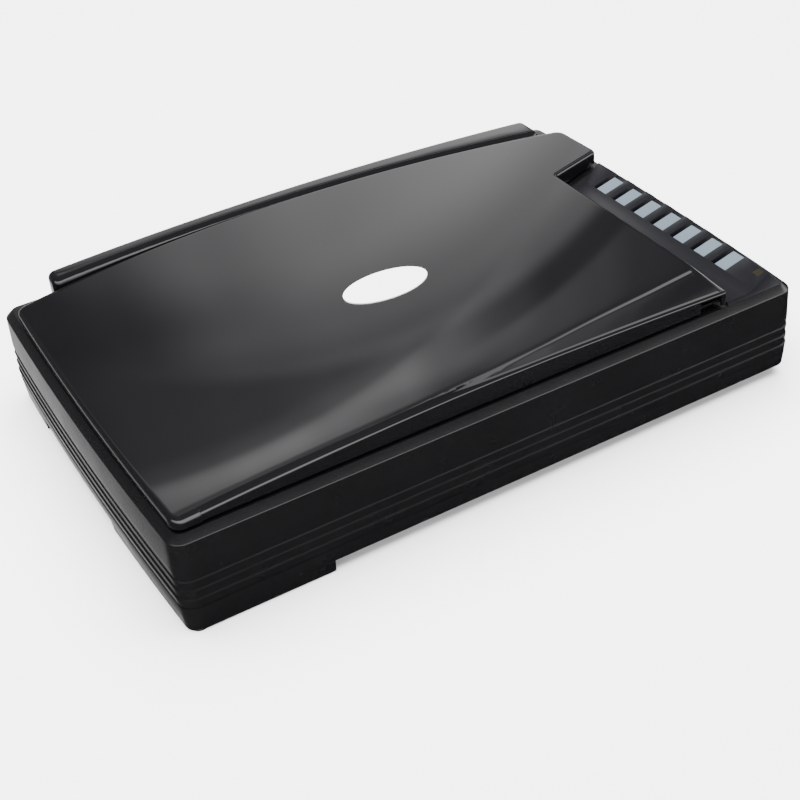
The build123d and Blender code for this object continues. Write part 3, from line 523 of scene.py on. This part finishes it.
def lid_ring(inset_of, height_of):
    """Ring of the lid, drawn in from the outline by inset_of(i) to the height height_of(i, x, y)."""
    base = len(lid.points)
    for i, point in enumerate(outer):
        spot = Vector(point) + miter(outer, i) * inset_of(i)
        lid.points.append((spot.x, spot.y, height_of(i, spot.x, spot.y)))
    return list(range(base, base + len(outer)))


LIP, UNDER_BEVEL, ARC_STEPS, FACE_EDGE = 0.35, 0.4, 6, 6.5
lid_rings = [lid_ring(lambda i: LID_WALL, lambda i, x, y: lower_z[i]),
             lid_ring(lambda i: LIP, lambda i, x, y: lower_z[i]),
             lid_ring(lambda i: 0.0, lambda i, x, y: lower_z[i] + LIP)]
for step in range(ARC_STEPS + 1):
    a = math.pi / 2 * step / ARC_STEPS
    lid_rings.append(lid_ring(lambda i: rounding[i] * (1 - math.cos(a)),
                              lambda i, x, y: lid_top(x, y) - rounding[i] * (1 - math.sin(a))))
for inset in (5.0, 5.5, 6.0, FACE_EDGE):
    lid_rings.append(lid_ring(lambda i: inset, lambda i, x, y: lid_top(x, y)))
lid.bands(lid_rings)

GRID, CREASE_GRID, CREASE_CLEAR = 9, 6, 17
CREASE_STEPS = (-14, -11, -8.5, -6.5, -5, -3.6, -2.4, -1.2, 0, 1.2, 2.4, 3.6, 5, 6.5, 8.5, 11, 14)
inner_loop = [lid.points[i][:2] for i in lid_rings[-1]]
grid = [(x, y) for x in range(-276, 277, GRID) for y in range(-176, 173, GRID)
        if abs(y - between(x, CREASE)) > CREASE_CLEAR or x > ARCH_X[1]]
for x in range(-280, 215, CREASE_GRID):
    grid += [(x, between(x, CREASE) + away) for away in CREASE_STEPS]
guard = drawn_in(inner_loop, 1.0)
face = filled(inner_loop, inner=[p for p in grid if holds(guard, *p)])
lid.cap(face, lid_top)
lid.bands([lid_ring(lambda i: LID_WALL, lambda i, x, y: lower_z[i]),
           lid_ring(lambda i: LID_WALL, lambda i, x, y: lid_top(x, y) - LID_WALL - UNDER_BEVEL),
           lid_ring(lambda i: LID_WALL + UNDER_BEVEL, lambda i, x, y: lid_top(x, y) - LID_WALL),
           lid_ring(lambda i: FACE_EDGE, lambda i, x, y: lid_top(x, y) - LID_WALL)])
lid.cap(face, lambda x, y: lid_top(x, y) - LID_WALL)
tongue_gap = ((-236.5, 246.5), (130, 185), (60, 102.0))
show(cut(lid.mesh("lid_skin"), [tongue_gap], "lid_look"), "lid_look", "lid_shell")

# --- floor ----------------------------------------------------------------------------------
FLOOR_REACH = 9
floor_mesh = bpy.data.meshes.new("floor")
floor_mesh.from_pydata([(x, y, 0) for x, y in rectangle((-FLOOR_REACH, FLOOR_REACH),
                                                        (-FLOOR_REACH, FLOOR_REACH))],
                       [], [(0, 1, 2, 3)])
floor = bpy.data.objects.new("floor", floor_mesh)
bpy.context.scene.collection.objects.link(floor)
floor_mesh.materials.append(finish_of("floor_pale", (0.93, 0.93, 0.93), 0.9, spread=0.005, blotch=2.0))
floor.visible_glossy = False

# --- studio sky: patches of light, mostly behind the scanner, that its gloss reflects ----------
world = bpy.data.worlds.new("studio")
world.use_nodes = True
sky_nodes, sky_links = world.node_tree.nodes, world.node_tree.links
backdrop = sky_nodes["Background"]
heading = sky_nodes.new("ShaderNodeTexCoord")
apart = sky_nodes.new("ShaderNodeSeparateXYZ")
sky_links.new(heading.outputs["Generated"], apart.inputs["Vector"])


def sky_math(operation, first, second):
    """A math node over two values, each a socket or a number."""
    node = sky_nodes.new("ShaderNodeMath")
    node.operation = operation
    for socket, value in zip(node.inputs, (first, second)):
        if isinstance(value, (int, float)):
            socket.default_value = value
        else:
            sky_links.new(value, socket)
    return node.outputs["Value"]


def towards(direction):
    """How nearly a part of the sky lies in the direction: 1 straight at it, -1 opposite."""
    node = sky_nodes.new("ShaderNodeVectorMath")
    node.operation = "DOT_PRODUCT"
    sky_links.new(heading.outputs["Generated"], node.inputs[0])
    node.inputs[1].default_value = Vector(direction).normalized()
    return node.outputs["Value"]


def slanted(across, slope, centre):
    """A value that is turned with the bearing, so that a band of it runs aslant."""
    return sky_math("SUBTRACT", across, sky_math("MULTIPLY", sky_math("SUBTRACT", bearing, centre), slope))


def stepped(value, stops):
    """A smooth brightness curve over a value; stops are (value, brightness)."""
    low, high = stops[0][0], stops[-1][0]
    top = max(bright for _, bright in stops)
    share = sky_nodes.new("ShaderNodeMapRange")
    share.inputs["From Min"].default_value = low
    share.inputs["From Max"].default_value = high
    sky_links.new(value, share.inputs["Value"])
    ramp = sky_nodes.new("ShaderNodeValToRGB")
    ramp.color_ramp.interpolation = "EASE"
    keys = ramp.color_ramp.elements
    while len(keys) < len(stops):
        keys.new(0.5)
    for key, (at, bright) in zip(keys, stops):
        key.position = (at - low) / (high - low)
        key.color = (bright / top,) * 3 + (1,)
    sky_links.new(share.outputs["Result"], ramp.inputs["Fac"])
    return sky_math("MULTIPLY", ramp.outputs["Color"], top)


def patch(across, across_stops, along, along_stops):
    """A patch of light: its brightness over one value times its brightness over another."""
    return sky_math("MULTIPLY", stepped(across, across_stops), stepped(along, along_stops))


bearing = sky_math("ARCTAN2", apart.outputs["X"], apart.outputs["Y"])
cone = towards((0.2834, 0.941, 0.184))
streak_cone = slanted(cone, 0.1, 0.177)
facet_cone = slanted(cone, 0.64, 0.77)
AMBIENT = 0.03
PATCHES = {
    "rear box": patch(
        cone, [(0.88, 0.0), (0.899, 0.0), (0.905, 0.52), (0.915, 0.82), (0.935, 1.46), (1.0, 1.46)],
        bearing, [(-0.4, 0.0), (0.12, 0.03), (0.19, 0.13), (0.30, 0.62), (0.42, 1.0), (0.60, 1.3),
                  (0.95, 1.3), (1.1, 0.3)]),
    "rear left": patch(
        cone, [(0.92, 0.0), (0.94, 0.25), (0.97, 0.5), (1.0, 0.6)],
        bearing, [(-0.4, 0.6), (0.1, 0.9), (0.22, 0.8), (0.33, 0.2), (0.42, 0.0)]),
    "left streak": patch(
        streak_cone, [(0.835, 0.3), (0.856, 0.8), (0.8655, 1.0), (0.8672, 0.9), (0.8705, 0.27),
                      (0.878, 0.12), (0.90, 0.09), (0.915, 0.0)],
        bearing, [(-0.4, 0.2), (0.10, 0.8), (0.16, 1.7), (0.20, 1.95), (0.26, 2.35), (0.31, 2.4),
                  (0.36, 1.9), (0.45, 1.4), (0.50, 0.7), (0.56, 0.3), (0.62, 0.1), (1.1, 0.0)]),
    "bridge": patch(
        cone, [(0.884, 0.0), (0.891, 1.0), (0.901, 0.6), (0.908, 0.0)],
        bearing, [(0.30, 0.0), (0.38, 0.3), (0.46, 0.6), (0.52, 0.5), (0.58, 0.15), (0.62, 0.0)]),
    "right streak": patch(
        cone, [(0.86, 0.5), (0.885, 1.0), (0.891, 1.0), (0.8940, 0.0)],
        bearing, [(0.5, 0.0), (0.58, 0.42), (0.62, 0.40), (0.66, 0.28), (0.70, 0.10), (0.78, 0.0)]),
    "crease glint": patch(
        facet_cone, [(0.62, 0.0), (0.66, 1.0), (0.735, 1.0), (0.765, 0.0)],
        bearing, [(0.5, 0.0), (0.65, 2.0), (0.95, 2.4), (1.1, 0.0)]),
    "facet glow": patch(
        facet_cone, [(0.755, 0.0), (0.77, 0.7), (0.79, 1.0), (0.81, 1.0), (0.83, 0.0)],
        bearing, [(0.5, 0.6), (0.728, 0.8), (0.745, 0.5), (0.765, 0.45), (0.787, 0.3), (0.80, 0.12),
                  (0.815, 0.0)]),
    "left low": stepped(
        towards((0.0, 0.90, -0.43)), [(0.6, 0.0), (0.86, 0.10), (0.93, 0.38), (0.98, 0.9), (1.0, 1.1)]),
    "front high": stepped(
        towards((0.35, -0.62, 0.70)), [(0.5, 0.0), (0.85, 0.12), (1.0, 0.18)]),
    "front level": patch(
        apart.outputs["Z"], [(-0.1, 0.0), (0.05, 2.4), (0.2, 5.0), (0.42, 5.0), (0.55, 0.0)],
        apart.outputs["Y"], [(-1.0, 1.0), (-0.3, 0.8), (0.2, 0.0)]),
}
level = AMBIENT
for light in PATCHES.values():
    level = sky_math("ADD", light, level)
backdrop.inputs["Color"].default_value = (1.0, 1.0, 1.0, 1.0)
sky_links.new(level, backdrop.inputs["Strength"])
bpy.context.scene.world = world

# --- overhead softbox -------------------------------------------------------------------------
SOFTBOX_PLACE, SOFTBOX_AIM, SOFTBOX_SIZE, SOFTBOX_POWER = Vector((0, 0.3, 3)), Vector((0, 0.2, 0)), 4.5, 900
lamp = bpy.data.lights.new("overhead", "AREA")
lamp.shape = "RECTANGLE"
lamp.size = lamp.size_y = SOFTBOX_SIZE
lamp.energy = SOFTBOX_POWER
softbox = bpy.data.objects.new("overhead", lamp)
bpy.context.scene.collection.objects.link(softbox)
softbox.location = SOFTBOX_PLACE
softbox.rotation_euler = (SOFTBOX_AIM - SOFTBOX_PLACE).to_track_quat("-Z", "Y").to_euler()
softbox.visible_glossy = False

# --- camera: its place, and its directions to the right, up and back ----------------------------
CAMERA_PLACE = (-0.5092, -1.0030, 0.7988)
CAMERA_AXES = ((0.8622, -0.5008, -0.0755), (0.3491, 0.4798, 0.8048), (-0.3669, -0.7204, 0.5886))
LENS, SENSOR_WIDTH = 68.25, 36
camera_data = bpy.data.cameras.new("photo_view")
camera_data.lens = LENS
camera_data.sensor_width = SENSOR_WIDTH
camera = bpy.data.objects.new("photo_view", camera_data)
bpy.context.scene.collection.objects.link(camera)
camera.matrix_world = Matrix.Translation(CAMERA_PLACE) @ Matrix(CAMERA_AXES).transposed().to_4x4()
bpy.context.scene.camera = camera
